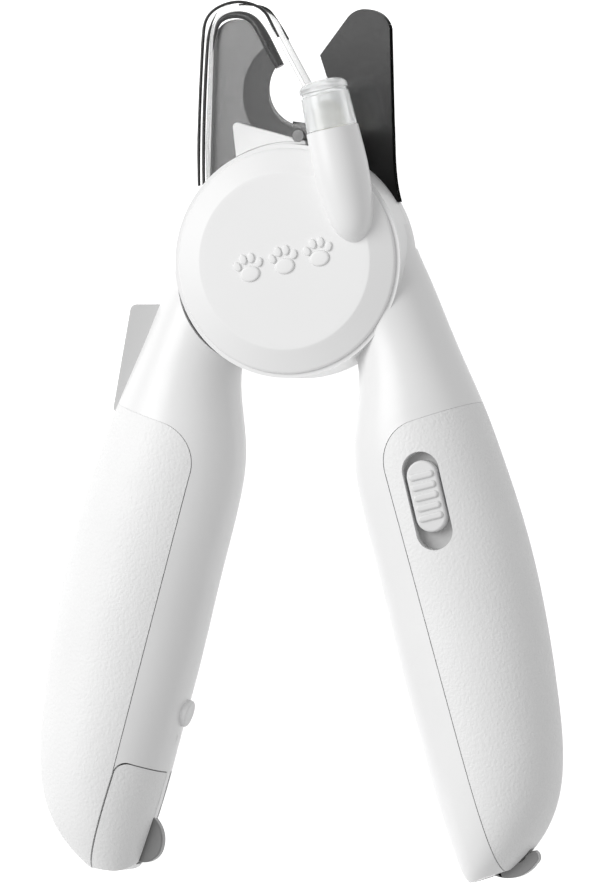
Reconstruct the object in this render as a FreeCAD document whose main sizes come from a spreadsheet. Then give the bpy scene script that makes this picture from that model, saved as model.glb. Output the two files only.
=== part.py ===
"""Pliers-type pet nail clipper with a lamp, a clear nail catcher and a pull-out file.

Frame: millimetres. The tool lies on its back, open. The origin is where the pivot axis
meets the resting plane. +Y runs towards the blade tips, +Z comes out of the front face.

The lamp handle (right) carries the fixed blade and the front half of the head. The plain
handle (left) carries the moving blade and the back half of the head. Each handle is drawn
in its own local frame, where the handle hangs along -Y from the pivot and +X is its outer
side (mirrored for the left handle), and is then turned by the open angle.
"""
import FreeCAD, Part
import math
import os

from FreeCAD import Placement, Rotation, Vector

SIZES = {
    # head and pivot
    "parting": 10.5,
    "head_radius": 20.0,
    "head_top": 18.5,
    "head_back_radius": 17.8,
    "head_taper": 8.0,
    "head_gap": 0.4,
    "shear_gap": 0.05,
    "blade_thick": 2.0,
    "edge_land": 0.25,
    "bolt_radius": 3.0,
    "bolt_head_radius": 5.5,
    "bolt_fit": 0.05,
    "bush_radius": 4.2,
    "nut_width": 9.0,
    "nut_height": 3.0,
    "washer_radius": 6.0,
    "washer_thick": 0.6,
    # pivot cap
    "cap_radius": 19.3,
    "cap_face_radius": 15.2,
    "cap_height": 2.1,
    "cap_spigot_radius": 8.5,
    "cap_spigot_depth": 1.4,
    # handles
    "open_angle": 18.4,
    "pad_thick": 1.5,
    "pad_bed": 1.6,
    "pad_back": 4.5,
    "wall": 3.2,
    "seam": 0.15,
    "boss_radius": 2.7,
    "screw_radius": 1.1,
    "screw_head_radius": 2.1,
    "screw_head_depth": 2.0,
    "screw_length": 13.0,
    # lamp
    "lamp_height": 20.8,
    "led_radius": 2.5,
    "wire_radius": 0.5,
    # switch
    "slot_radius": 3.2,
    "slot_travel": 10.7,
    "slot_floor": 18.4,
    "stem_room": 1.3,
    "stem_travel": 5.9,
    "knob_radius": 2.7,
    "knob_length": 7.0,
    # cells and battery bay
    "cell_radius": 5.8,
    "cell_height": 5.4,
    "bay_start": 58.0,
    "bay_end": 82.0,
    "bay_centre": 9.0,
    "bay_half_width": 6.6,
    "door_thick": 2.2,
    # nail catcher
    "catcher_wall": 1.3,
    "catcher_top": 15.7,
    # blade guard
    "guard_screw_radius": 0.6,
    "guard_head_radius": 1.0,
    # latch and catch
    "latch_thick": 2.2,
    "latch_pin_radius": 1.2,
    "latch_reach": 11.4,
    # nail file
    "file_thick": 1.2,
    "file_width": 3.4,
    "grip_start": 90.7,
}

# Handle stations: distance from the pivot, inner edge, outer edge, half depth.
STATIONS = [
    (0.0, 2.0, 20.3, 8.0),
    (10.0, 3.6, 20.8, 8.2),
    (20.0, 4.5, 21.6, 8.5),
    (27.0, 2.2, 22.3, 9.3),
    (34.0, -0.8, 23.0, 10.1),
    (43.0, -2.5, 23.4, 10.4),
    (56.0, -3.4, 23.4, 10.5),
    (70.0, -4.5, 22.2, 10.5),
    (84.0, -5.2, 19.9, 10.4),
    (95.0, -5.7, 17.2, 10.0),
    (102.0, -5.7, 13.9, 8.9),
    (107.0, -5.6, 9.2, 7.0),
    (110.4, -4.8, 3.2, 3.9),
]

RIGHT = 1
LEFT = -1

# Grip pad seam of each handle: its inner edge below the corner, a lower point, and its tail.
PAD_SEAMS = {RIGHT: (5.3, (2.3, 107.0), 1.9), LEFT: (4.6, (1.5, 93.0), 1.5)}

# Share of the seam's width that shows along the upper edge of each grip pad.
TOP_SEAMS = {RIGHT: 0.25, LEFT: 0.2}

# Return spring: where its legs leave the coil, about the pivot.
LEG_RADIUS = 9.2
LEG_ANGLE = 135.9
ANCHOR_ANGLE = -135.0

doc = FreeCAD.newDocument("pet_nail_clipper")


# ---------------------------------------------------------------- sheet and helpers

def make_sheet():
    """Write the driving dimensions into the spreadsheet and return it."""
    sheet = doc.addObject("Spreadsheet::Sheet", "Sizes")
    rows = dict(SIZES)
    for index, (reach, inner, outer, depth) in enumerate(STATIONS):
        rows["reach_%s" % word(index)] = reach
        rows["inner_%s" % word(index)] = inner
        rows["outer_%s" % word(index)] = outer
        rows["depth_%s" % word(index)] = depth
    for row, (alias, value) in enumerate(rows.items(), start=1):
        sheet.set("A%d" % row, alias)
        sheet.set("B%d" % row, str(value))
        sheet.setAlias("B%d" % row, alias)
    doc.recompute()
    return sheet


def word(index):
    """Return a letter name for a station."""
    return "station_%s" % "abcdefghijklmnop"[index]


def size(alias):
    """Read one driving dimension from the sheet."""
    return float(getattr(doc.Sizes, alias))


def bind(obj, **expressions):
    """Bind properties to sheet expressions; a double underscore stands for a dot."""
    for name, expression in expressions.items():
        obj.setExpression(name.replace("__", "."), expression)
    return obj


def add(kind, name, **expressions):
    """Make a document object and bind its sizes."""
    return bind(doc.addObject(kind, name), **expressions)


def turn(side):
    """Return the rotation of a handle's local frame, +1 right and -1 left."""
    return Rotation(Vector(0, 0, 1), side * size("open_angle"))


def seat(side, across, along, height=0.0, spin=None):
    """Place something in a handle's local frame: outward offset and distance from the pivot."""
    place = Placement(Vector(side * across, -along, height), spin or Rotation())
    return Placement(Vector(), turn(side)).multiply(place)


def cylinder(name, radius, height, place):
    """Make a bound cylinder at a placement."""
    obj = add("Part::Cylinder", name, Radius=radius, Height=height)
    obj.Placement = place
    return obj


def upright(name, radius, low, high, x=0.0, y=0.0):
    """Make a vertical cylinder between two bound heights."""
    obj = add("Part::Cylinder", name, Radius=radius, Height="(%s) - (%s)" % (high, low))
    obj.Placement = Placement(Vector(x, y, 0), Rotation())
    return bind(obj, Placement__Base__z=low)


def box(name, low, high):
    """Make a plain box between two corners."""
    obj = doc.addObject("Part::Box", name)
    obj.Length = high[0] - low[0]
    obj.Width = high[1] - low[1]
    obj.Height = high[2] - low[2]
    obj.Placement = Placement(Vector(*low), Rotation())
    return obj


def handle_box(name, side, low, high):
    """Make a box in a handle's local frame; corners are (outward, distance, height)."""
    obj = doc.addObject("Part::Box", name)
    obj.Length = high[0] - low[0]
    obj.Width = high[1] - low[1]
    obj.Height = high[2] - low[2]
    start = low[0] if side == RIGHT else -high[0]
    corner = Placement(Vector(start, -high[1], low[2]), Rotation())
    obj.Placement = Placement(Vector(), turn(side)).multiply(corner)
    return obj


def cut(name, base, *tools):
    """Subtract tools from a base, one after another."""
    for index, tool in enumerate(tools):
        step = doc.addObject("Part::Cut", "%s_%d" % (name, index))
        step.Base = base
        step.Tool = tool
        base = step
    return base


def fuse(name, *shapes):
    """Join shapes into one."""
    obj = doc.addObject("Part::MultiFuse", name)
    obj.Shapes = list(shapes)
    obj.Refine = True
    return obj


def common(name, *shapes):
    """Keep what the shapes share."""
    obj = doc.addObject("Part::MultiCommon", name)
    obj.Shapes = list(shapes)
    return obj


def extrude(name, edges, low, high, place=None):
    """Extrude a closed outline, drawn in a sketch, between two bound heights."""
    sketch = doc.addObject("Sketcher::SketchObject", name + "_outline")
    for edge in edges:
        sketch.addGeometry(edge, False)
    sketch.Placement = place or Placement()
    obj = doc.addObject("Part::Extrusion", name)
    obj.Base = sketch
    obj.DirMode = "Custom"
    obj.Dir = Vector(0, 0, 1)
    obj.Solid = True
    obj.FaceMakerClass = "Part::FaceMakerBullseye"
    bind(sketch, Placement__Base__z=low)
    return bind(obj, LengthFwd="(%s) - (%s)" % (high, low))


def polygon(points):
    """Return the line segments of a closed outline."""
    corners = [Vector(x, y, 0) for x, y in points]
    return [Part.LineSegment(a, b) for a, b in zip(corners, corners[1:] + corners[:1])]


def path(*pieces):
    """Return edges through pieces: ('line', p...), ('arc', mid, end) and ('curve', p...)."""
    edges = []
    here = Vector(*pieces[0], 0)
    for kind, *points in pieces[1:]:
        spots = [Vector(x, y, 0) for x, y in points]
        if kind == "line":
            for spot in spots:
                edges.append(Part.LineSegment(here, spot))
                here = spot
        elif kind == "arc":
            edges.append(Part.Arc(here, spots[0], spots[1]))
            here = spots[1]
        else:
            curve = Part.BSplineCurve()
            curve.interpolate([here] + spots)
            edges.append(curve)
            here = spots[-1]
    return edges


def body_sketch(body, name, role, edges, offset):
    """Add a sketch on one of the body's own origin planes."""
    plane = [f for f in body.Origin.OriginFeatures if f.Role == role][0]
    sketch = body.newObject("Sketcher::SketchObject", name)
    sketch.AttachmentSupport = (plane, [""])
    sketch.MapMode = "FlatFace"
    for edge in edges:
        sketch.addGeometry(edge, False)
    bind(sketch, AttachmentOffset__Base__z=offset)
    return sketch


def turned(name, profile, place=None):
    """Make a PartDesign body by revolving a half profile (radius, height) about its Z axis."""
    body = doc.addObject("PartDesign::Body", name)
    sketch = body_sketch(body, name + "_sketch", "XZ_Plane", profile, "0")
    spin = body.newObject("PartDesign::Revolution", name + "_spin")
    spin.Profile = sketch
    spin.ReferenceAxis = (sketch, ["V_Axis"])
    spin.Angle = 360
    body.Placement = place or Placement()
    doc.recompute()
    return body


def end_offset(tag, index, inset):
    """Distance expression of a station; the end station is drawn in by the inset too."""
    if index == len(STATIONS) - 1:
        return "-(Sizes.reach_%s - (%s))" % (tag, inset)
    return "-Sizes.reach_%s" % tag


def handle_loft(name, side, inset, first=0, last=len(STATIONS)):
    """Loft a handle through elliptical stations, all drawn in by an inset."""
    sections = []
    for index in range(first, last):
        tag = word(index)
        ring = add(
            "Part::Ellipse", "%s_%s" % (name, tag),
            MajorRadius="(Sizes.outer_%s - Sizes.inner_%s) / 2 - %s" % (tag, tag, inset),
            MinorRadius="Sizes.depth_%s - %s" % (tag, inset),
            Placement__Base__x="%d * (Sizes.outer_%s + Sizes.inner_%s) / 2" % (side, tag, tag),
            Placement__Base__y=end_offset(tag, index, inset),
            Placement__Base__z="Sizes.parting",
        )
        ring.Placement = Placement(Vector(), Rotation(Vector(1, 0, 0), 90))
        sections.append(ring)
    loft = doc.addObject("Part::Loft", name)
    loft.Sections = sections
    loft.Solid = True
    loft.Ruled = False
    loft.Placement = Placement(Vector(), turn(side))
    return loft


def label(obj, name):
    """Give a finished sub-part the label that names its file."""
    obj.Label = name
    NODES.append((name, obj))
    return obj


NODES = []


# ---------------------------------------------------------------- handles

def pad_region(name, side, margin):
    """Prism over the outer face of a handle, where the textured grip pad lies."""
    seam_top = 33.0 - margin * TOP_SEAMS[side]
    far = 30.0
    end = 116.0
    corner = 7.0
    seam_in = PAD_SEAMS[side][0] - margin
    lower, tail = PAD_SEAMS[side][1:]
    spots = [
        (far, -seam_top),
        ("line", (seam_in + corner, -seam_top)),
        ("arc", (seam_in + 0.3 * corner, -seam_top - 0.3 * corner), (seam_in, -seam_top - corner)),
        ("line", (lower[0] - margin, -lower[1]), (tail - margin, -end), (far, -end),
         (far, -seam_top)),
    ]
    edges = mirror_edges(path(*spots), side)
    return extrude(name, edges, "Sizes.pad_back - %s" % margin, "30",
                   Placement(Vector(), turn(side)))


def mirror_edges(edges, side):
    """Mirror outline edges for the left handle."""
    if side == RIGHT:
        return edges
    flip = FreeCAD.Matrix()
    flip.A11 = -1
    mirrored = []
    for edge in edges:
        copy = edge.copy()
        copy.transform(flip)
        mirrored.append(copy)
    return mirrored


def screw_spots(side):
    """Positions of the shell screws: outward offset and distance from the pivot."""
    if side == RIGHT:
        return [(14.0, 27.5), (3.4, 52.5), (8.0, 90.0)]
    return [(14.0, 27.5), (12.0, 60.0), (11.5, 92.0)]


def bosses(name, side, low, high):
    """Screw bosses inside the shells."""
    posts = []
    for index, (across, along) in enumerate(screw_spots(side)):
        post = add("Part::Cylinder", "%s_%d" % (name, index), Radius="Sizes.boss_radius",
                   Height="(%s) - (%s)" % (high, low))
        post.Placement = seat(side, across, along)
        bind(post, Placement__Base__z=low)
        posts.append(post)
    return posts


def screws(name, side):
    """Countersunk screws that join the two shells of a handle, driven from the back."""
    shafts = []
    for index, (across, along) in enumerate(screw_spots(side)):
        tag = "%s_%d" % (name, index)
        base = 1.4 if along < 40.0 else 0.9
        shaft = add("Part::Cylinder", tag + "_shaft", Radius="Sizes.screw_radius",
                    Height="Sizes.screw_length")
        head = add("Part::Cylinder", tag + "_head", Radius="Sizes.screw_head_radius",
                   Height="Sizes.screw_head_depth")
        slot = handle_box(tag + "_slot", side, (across - 1.5, along - 0.35, base - 1.0),
                          (across + 1.5, along + 0.35, base + 0.7))
        cross = handle_box(tag + "_cross", side, (across - 0.35, along - 1.5, base - 1.0),
                           (across + 0.35, along + 1.5, base + 0.7))
        shaft.Placement = seat(side, across, along, base)
        head.Placement = seat(side, across, along, base)
        shafts.append(cut(tag, fuse(tag + "_blank", shaft, head), slot, cross))
    return shafts


def screw_holes(name, side):
    """Clearance for the shell screws, open to the back."""
    holes = []
    for index, (across, along) in enumerate(screw_spots(side)):
        tag = "%s_%d" % (name, index)
        base = 1.4 if along < 40.0 else 0.9
        shaft = add("Part::Cylinder", tag + "_shaft", Radius="Sizes.screw_radius",
                    Height="Sizes.screw_length")
        head = add("Part::Cylinder", tag + "_head", Radius="Sizes.screw_head_radius + 0.1",
                   Height="Sizes.screw_head_depth + 4")
        shaft.Placement = seat(side, across, along, base)
        head.Placement = seat(side, across, along, base - 4.0)
        holes += [shaft, head]
    return holes


def half_space(name, low, high):
    """A slab that keeps one half of a handle."""
    reach = 140.0
    obj = add("Part::Box", name, Height="(%s) - (%s)" % (high, low))
    obj.Length = 2 * reach
    obj.Width = 2 * reach
    obj.Placement = Placement(Vector(-reach, -reach, 0), Rotation())
    return bind(obj, Placement__Base__z=low)


def clearance_ring(name, low, high):
    """The round space that one handle leaves for the other handle's half of the head."""
    return upright(name, "Sizes.head_radius + Sizes.head_gap", low, high)


def grip_pad(name, side):
    """Textured cover over the outer face of a handle."""
    outer = handle_loft(name + "_outer", side, "0", 3)
    inner = handle_loft(name + "_inner", side, "Sizes.pad_thick", 3)
    region = pad_region(name + "_region", side, -size("seam"))
    return outer, inner, region


def shell_tools(prefix, side):
    """Cavity and pad bed of one handle."""
    cavity = handle_loft(prefix + "_cavity", side, "Sizes.wall", 3, len(STATIONS) - 3)
    bed_outer = handle_loft(prefix + "_bed_outer", side, "-0.5", 3)
    bed_inner = handle_loft(prefix + "_bed_inner", side, "Sizes.pad_bed", 3)
    bed_skin = cut(prefix + "_bed_skin", bed_outer, bed_inner)
    bed = common(prefix + "_bed", bed_skin, pad_region(prefix + "_bed_region", side, 0.0))
    return cavity, bed


# ---------------------------------------------------------------- lamp handle

LATCH_PIN = (-0.5, 103.5)

# Latch room about its pin: inner and outer limit, and where it starts down the handle.
LATCH_STEPS = [(-20.0, 4.3, -2.8), (4.2, 7.1, 0.9), (7.0, 20.0, 4.6)]

# Switch: the slot's upper centre, its slant, and the knob's place and form.
SLOT_START = (11.6, 41.5)
SLOT_TILT = 13.7
SLOT_MIDDLE = SIZES["slot_travel"] / 2.0
KNOB_REST = 4.53
RIB_PITCH = 1.8
RIB_SIZE = (5.0, 0.9, 0.75)
STEM_SIZE = (2.0, 3.0, 6.4)


def slide_place(distance):
    """Placement on the switch's slide line, at a distance from the slot's upper centre."""
    across, along = SLOT_START
    top = turn(RIGHT).multVec(Vector(across, -along, 0))
    slide = Rotation(Vector(0, 0, 1), SLOT_TILT)
    return Placement(top + slide.multVec(Vector(0, -distance, 0)), slide)


def slot_prism(name, radius, length, distance, low, high):
    """Round-ended prism of the switch, centred at a distance down the slide line."""
    half = length / 2.0
    edges = [
        Part.LineSegment(Vector(radius, -half, 0), Vector(radius, half, 0)),
        Part.Arc(Vector(radius, half, 0), Vector(0, half + radius, 0), Vector(-radius, half, 0)),
        Part.LineSegment(Vector(-radius, half, 0), Vector(-radius, -half, 0)),
        Part.Arc(Vector(-radius, -half, 0), Vector(0, -half - radius, 0), Vector(radius, -half, 0)),
    ]
    return extrude(name, edges, low, high, slide_place(distance))


def wire_route(offset):
    """Route of one lamp wire from the switch body, through the neck and head, to the LED."""
    return [
        Vector(22.5 + offset, -35.6, 15.0),
        Vector(21.0 + offset, -28.0, 15.2),
        Vector(18.6 + offset, -19.0, 15.2),
        Vector(15.6 + offset, -10.5, 15.2),
        Vector(13.4 + offset, -2.0, 15.2),
        Vector(11.2 + offset, 4.5, 17.0),
        Vector(10.7 + offset, 12.5, 20.6),
        Vector(9.3 + offset, 19.4, 20.7),
    ]


def rounded_run(points):
    """Wire of straight runs joined by tangent arcs."""
    edges = []
    here = points[0]
    for before, corner, after in zip(points, points[1:], points[2:]):
        back = (before - corner)
        ahead = (after - corner)
        angle = math.pi - back.getAngle(ahead)
        trim = 0.45 * min(back.Length, ahead.Length)
        back.normalize()
        ahead.normalize()
        start = corner + back * trim
        stop = corner + ahead * trim
        bisector = back + ahead
        bisector.normalize()
        radius = trim / math.tan(angle / 2.0)
        reach = radius / math.cos(angle / 2.0) - radius
        edges.append(Part.LineSegment(here, start).toShape())
        edges.append(Part.Arc(start, corner + bisector * reach, stop).toShape())
        here = stop
    edges.append(Part.LineSegment(here, points[-1]).toShape())
    return Part.Wire(edges)


def tube(points, radius):
    """Solid round wire along a rounded run."""
    spine = rounded_run(points)
    start = points[0]
    heading = points[1] - points[0]
    section = Part.Wire(Part.Circle(start, heading, radius).toShape())
    return spine.makePipeShell([section], True, False)


def feature(name, shape):
    """Wrap a computed shape as a document object."""
    obj = doc.addObject("Part::Feature", name)
    obj.Shape = shape
    obj.Placement = Placement()
    return obj


def wire_channel(name):
    """Space for the lamp wires through the neck and the head."""
    points = wire_route(0.0)
    return feature(name, tube(points, 1.9))


def lamp_axis():
    """Placement whose Z axis runs along the lamp, from its tail to its lens."""
    tail = Vector(12.9, 2.9, size("lamp_height") - 0.8)
    nose = Vector(7.1, 29.4, size("lamp_height") + 0.2)
    return Placement(tail, Rotation(Vector(0, 0, 1), nose - tail))


def lamp_blank(name):
    """Torpedo form of the lamp housing, up to the lens seam."""
    length = 20.0
    profile = path(
        (0.0, 0.0),
        ("curve", (2.8, 2.0), (4.15, 6.5), (4.7, 13.0), (4.5, length)),
        ("line", (0.0, length), (0.0, 0.0)),
    )
    return turned(name, profile, lamp_axis())


def lamp_parts():
    """Housing, lens and LED of the lamp."""
    blank = lamp_blank("lamp_blank")
    head = upright("lamp_head_cut", "Sizes.head_radius", "0", "Sizes.head_top")
    bore = add("Part::Cylinder", "lamp_bore", Radius="Sizes.led_radius + 0.4")
    bore.Height = 12.0
    bore.Placement = lamp_axis().multiply(Placement(Vector(0, 0, 9.5), Rotation()))
    channel = wire_channel("lamp_channel")
    label(cut("lamp_housing_solid", blank, head, bore, channel), "lamp_housing")

    lens_profile = path(
        (2.95, 20.15),
        ("line", (4.4, 20.15), (4.15, 26.0), (3.9, 26.2), (3.9, 26.6), (4.2, 26.8),
         (4.15, 27.5)),
        ("curve", (3.4, 28.2), (2.0, 28.6), (0.0, 28.7)),
        ("line", (0.0, 27.3)),
        ("curve", (1.8, 27.2), (2.95, 26.2)),
        ("line", (2.95, 20.15)),
    )
    label(turned("lamp_lens_body", lens_profile, lamp_axis()), "lamp_lens")

    led_parts = []
    for tag, radius, low, height in (("flange", "Sizes.led_radius + 0.3", 17.2, 1.0),
                                     ("stalk", "Sizes.led_radius", 17.7, 4.9)):
        place = lamp_axis().multiply(Placement(Vector(0, 0, low), Rotation()))
        led_parts.append(cylinder("lamp_led_" + tag, radius, str(height), place))
    dome = add("Part::Sphere", "lamp_led_dome", Radius="Sizes.led_radius")
    dome.Placement = lamp_axis().multiply(Placement(Vector(0, 0, 22.6), Rotation()))
    label(fuse("lamp_led_solid", dome, *led_parts), "lamp_led")

    runs = []
    for offset in (-0.7, 0.7):
        runs.append(tube(wire_route(offset), size("wire_radius")))
    label(feature("lamp_wires_pair", Part.makeCompound(runs)), "lamp_wires")


def lamp_handle_front():
    """Front shell of the lamp handle, one moulding with the front half of the head."""
    outer = handle_loft("lamp_front_outer", RIGHT, "0")
    front = half_space("lamp_front_half", "Sizes.parting", "60")
    grip = common("lamp_front_grip", outer, front)
    drum = upright("lamp_front_drum", "Sizes.head_radius", "Sizes.parting + Sizes.shear_gap",
                   "Sizes.head_top")
    above = upright("lamp_front_above", "Sizes.cap_radius", "Sizes.head_top", "40")
    cavity, bed = shell_tools("lamp_front", RIGHT)
    posts = bosses("lamp_front_boss", RIGHT, "Sizes.parting", "Sizes.parting + 7")
    hollow = cut("lamp_front_hollow", cavity, *posts)
    window = slot_prism("lamp_front_window", size("stem_room"), size("stem_travel"), SLOT_MIDDLE,
                        "Sizes.parting + 3", "30")
    lowered = slot_prism("lamp_front_lowered", size("slot_radius"), size("slot_travel"),
                         SLOT_MIDDLE, "Sizes.slot_floor", "30")
    slot_under = upright("lamp_front_shear", "Sizes.head_radius + 0.6", "0",
                         "Sizes.parting + Sizes.shear_gap")
    tang = fixed_tang("lamp_front_tang", 0.1)
    bolt = upright("lamp_front_bolt", "Sizes.bolt_radius + Sizes.bolt_fit", "0", "40")
    nut_well = upright("lamp_front_nut_well", "Sizes.washer_radius + 0.4",
                       "Sizes.head_top - 4.4", "40")
    spigot = upright("lamp_front_spigot", "Sizes.cap_spigot_radius + 0.1",
                     "Sizes.head_top - Sizes.cap_spigot_depth - 0.1", "40")
    channel = wire_channel("lamp_front_channel")
    swing = latch_space("lamp_front_swing")
    lamp = lamp_blank("lamp_front_lamp")
    shell = cut("lamp_front_shell_solid", fuse("lamp_front_block", grip, drum), above, hollow, bed,
                window, lowered, slot_under, tang, bolt, nut_well, spigot, channel, swing, lamp,
                *screw_holes("lamp_front_hole", RIGHT))
    return label(shell, "lamp_handle_front_shell")


def latch_space(name):
    """Slot through the end of the lamp handle, in which the latch swings."""
    across, along = LATCH_PIN
    reach = add("Part::Cylinder", name, Radius="Sizes.latch_reach + 1.2",
                Height="Sizes.latch_thick + 0.4")
    reach.Placement = seat(RIGHT, across, along)
    bind(reach, Placement__Base__z="Sizes.parting - Sizes.latch_thick / 2 - 0.2")
    steps = []
    for index, (inner, outer, start) in enumerate(LATCH_STEPS):
        steps.append(handle_box("%s_step_%d" % (name, index), RIGHT,
                                (across + inner, along + start, 0.0),
                                (across + outer, along + 20.0, 21.0)))
    pin = cylinder(name + "_pin", "Sizes.latch_pin_radius", "10",
                   seat(RIGHT, across, along, size("parting") - 5.0))
    below = fuse(name + "_below", *steps)
    return fuse(name + "_all", common(name + "_sector", reach, below), pin)


def lamp_handle_back():
    """Back shell of the lamp handle."""
    outer = handle_loft("lamp_back_outer", RIGHT, "0")
    back = half_space("lamp_back_half", "-60", "Sizes.parting")
    grip = common("lamp_back_grip", outer, back)
    cavity = handle_loft("lamp_back_cavity", RIGHT, "Sizes.wall", 3, len(STATIONS) - 3)
    core = common("lamp_back_core", handle_loft("lamp_back_bed", RIGHT, "Sizes.pad_bed", 3), back)
    rim = pad_region("lamp_back_rim", RIGHT, 0.0)
    posts = bosses("lamp_back_boss", RIGHT, "Sizes.parting - 7", "Sizes.parting")
    hollow = cut("lamp_back_hollow", cavity, *posts)
    ring = clearance_ring("lamp_back_ring", "-1", "Sizes.parting + 1")
    shoulder = box("lamp_back_shoulder", (0.0, 2.2, -1.0), (40.0, 40.0, 20.0))
    bay = battery_bay("lamp_back_bay", 0.0, -5.0, 9.0)
    door_hole = door_screw_hole("lamp_back_door_hole")
    swing = latch_space("lamp_back_swing")
    block = fuse("lamp_back_block", cut("lamp_back_skin", grip, rim, swing),
                 cut("lamp_back_inside", core, swing))
    shell = cut("lamp_back_shell_solid", block, hollow, ring, shoulder, bay, door_hole,
                *screw_holes("lamp_back_hole", RIGHT))
    return label(shell, "lamp_handle_back_shell")


def battery_bay(name, margin, low, high):
    """Opening of the battery bay in the back shell."""
    half = size("bay_half_width") - margin
    return handle_box(name, RIGHT,
                      (size("bay_centre") - half, size("bay_start") + margin, low),
                      (size("bay_centre") + half, size("bay_end") - margin, high))


def door_screw_hole(name):
    """Threaded hole for the battery door screw, in the wall beyond the bay."""
    return cylinder(name, "Sizes.screw_radius", "9", seat(RIGHT, size("bay_centre"), 79.5, -1.0))


def battery_parts():
    """Battery door, its screw, the tray, three cells and their contacts."""
    centre = size("bay_centre")
    mid = size("parting")
    skin = cut("door_skin", handle_loft("door_outer", RIGHT, "0", 3),
               handle_loft("door_inner", RIGHT, "Sizes.door_thick", 3))
    leaf = common("door_leaf", skin, battery_bay("door_plan", 0.2, -5.0, 9.0))
    head_well = cylinder("door_well", "Sizes.screw_head_radius + 0.1", "4.9",
                         seat(RIGHT, centre, 79.5, -4.0))
    bore = cylinder("door_bore", "Sizes.screw_radius + 0.1", "9",
                    seat(RIGHT, centre, 79.5, -4.0))
    label(cut("door_solid", leaf, head_well, bore), "battery_door")

    shaft = cylinder("door_screw_shaft", "Sizes.screw_radius", "3.2",
                     seat(RIGHT, centre, 79.5, 0.4))
    head = cylinder("door_screw_head", "Sizes.screw_head_radius", "0.5",
                    seat(RIGHT, centre, 79.5, 0.4))
    notch = handle_box("door_screw_slot", RIGHT, (centre - 1.6, 79.2, 0.0),
                       (centre + 1.6, 79.8, 0.65))
    label(cut("door_screw_solid", fuse("door_screw_blank", shaft, head), notch),
          "battery_door_screw")

    block = handle_box("tray_block", RIGHT, (centre - 6.6, 56.4, 7.0),
                       (centre + 6.6, 81.6, mid - 0.2))
    cradle = cylinder("tray_cradle", "Sizes.cell_radius + 0.15", "20.4",
                      seat(RIGHT, centre, 60.0, mid, Rotation(Vector(1, 0, 0), 90)))
    bottom = handle_box("tray_window", RIGHT, (centre - 4.2, 60.0, 0.0), (centre + 4.2, 80.4, 9.0))
    label(cut("tray_solid", block, cradle, bottom), "battery_tray")

    cells = []
    for index in range(3):
        start = 61.6 + index * (size("cell_height") + 0.05)
        place = seat(RIGHT, centre, start, mid, Rotation(Vector(1, 0, 0), 90))
        case = cylinder("cell_%d_case" % index, "Sizes.cell_radius", "Sizes.cell_height - 0.6",
                        place)
        pole = cylinder("cell_%d_pole" % index, "Sizes.cell_radius - 0.8", "Sizes.cell_height",
                        place)
        cells.append(fuse("cell_%d" % index, case, pole))
    label(group("button_cells_group", cells), "button_cells")

    disc = cylinder("contact_disc", "Sizes.cell_radius - 1.2", "0.4",
                    seat(RIGHT, centre, 61.1, mid, Rotation(Vector(1, 0, 0), 90)))
    tab = handle_box("contact_tab", RIGHT, (centre - 1.5, 61.1, mid), (centre + 1.5, 61.5, mid + 5.2))
    label(fuse("contact_plate_solid", disc, tab), "contact_plate")

    leaf = handle_box("contact_leaf", RIGHT, (centre - 1.5, 78.1, mid - 2.0),
                      (centre + 1.5, 78.5, mid + 2.0))
    bend = handle_box("contact_bend", RIGHT, (centre - 1.5, 78.1, mid - 2.4),
                      (centre + 1.5, 79.2, mid - 1.9))
    stem = handle_box("contact_stem", RIGHT, (centre - 1.5, 78.8, mid - 2.4),
                      (centre + 1.5, 79.2, mid + 5.2))
    label(fuse("contact_spring_solid", leaf, bend, stem), "contact_spring")


def group(name, objects):
    """Hold several separate solids in one node."""
    obj = doc.addObject("Part::Compound", name)
    obj.Links = objects
    return obj


def lamp_grip_pad():
    """Grip pad of the lamp handle, with the switch window."""
    outer, inner, region = grip_pad("lamp_pad", RIGHT)
    swing = latch_space("lamp_pad_swing")
    form = common("lamp_pad_form", cut("lamp_pad_skin", outer, swing, inner), region)
    window = slot_prism("lamp_pad_window", size("slot_radius"), size("slot_travel"), SLOT_MIDDLE,
                        "0", "30")
    return label(cut("lamp_pad_solid", form, window), "lamp_handle_grip_pad")


def switch_parts():
    """Slide switch body in the shell and the ribbed knob in its slot."""
    across, along = SLOT_START
    centre_along = along + size("slot_travel") / 2.0
    case = handle_box("switch_case", RIGHT, (across - 4.4, centre_along - 5.5, 11.4),
                      (across + 2.4, centre_along + 5.5, 15.6))
    inside = handle_box("switch_inside", RIGHT, (across - 3.2, centre_along - 4.3, 12.4),
                        (across + 1.2, centre_along + 4.3, 20.0))
    label(cut("switch_case_solid", case, inside), "switch_body")


def knob():
    """Ribbed slide knob: round-ended block with five cross ribs and a stem below."""
    block = slot_prism("knob_block", size("knob_radius"), size("knob_length"), KNOB_REST,
                       "Sizes.slot_floor + 0.2", "Sizes.parting + 10.15")
    ribs = []
    for index in range(5):
        centre = KNOB_REST + (index - 2) * RIB_PITCH
        ribs.append(slide_box("knob_rib_%d" % index, RIB_SIZE, centre, size("parting") + 9.85))
    stem = slide_box("knob_stem", STEM_SIZE, KNOB_REST, 12.9)
    label(fuse("knob_solid", block, stem, *ribs), "slide_knob")


def slide_box(name, sizes, distance, low):
    """Box centred on the switch's slide line, standing on a height."""
    obj = doc.addObject("Part::Box", name)
    obj.Length, obj.Width, obj.Height = sizes
    corner = Placement(Vector(-sizes[0] / 2.0, -sizes[1] / 2.0, low), Rotation())
    obj.Placement = slide_place(distance).multiply(corner)
    return obj


# ---------------------------------------------------------------- plain handle

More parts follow.
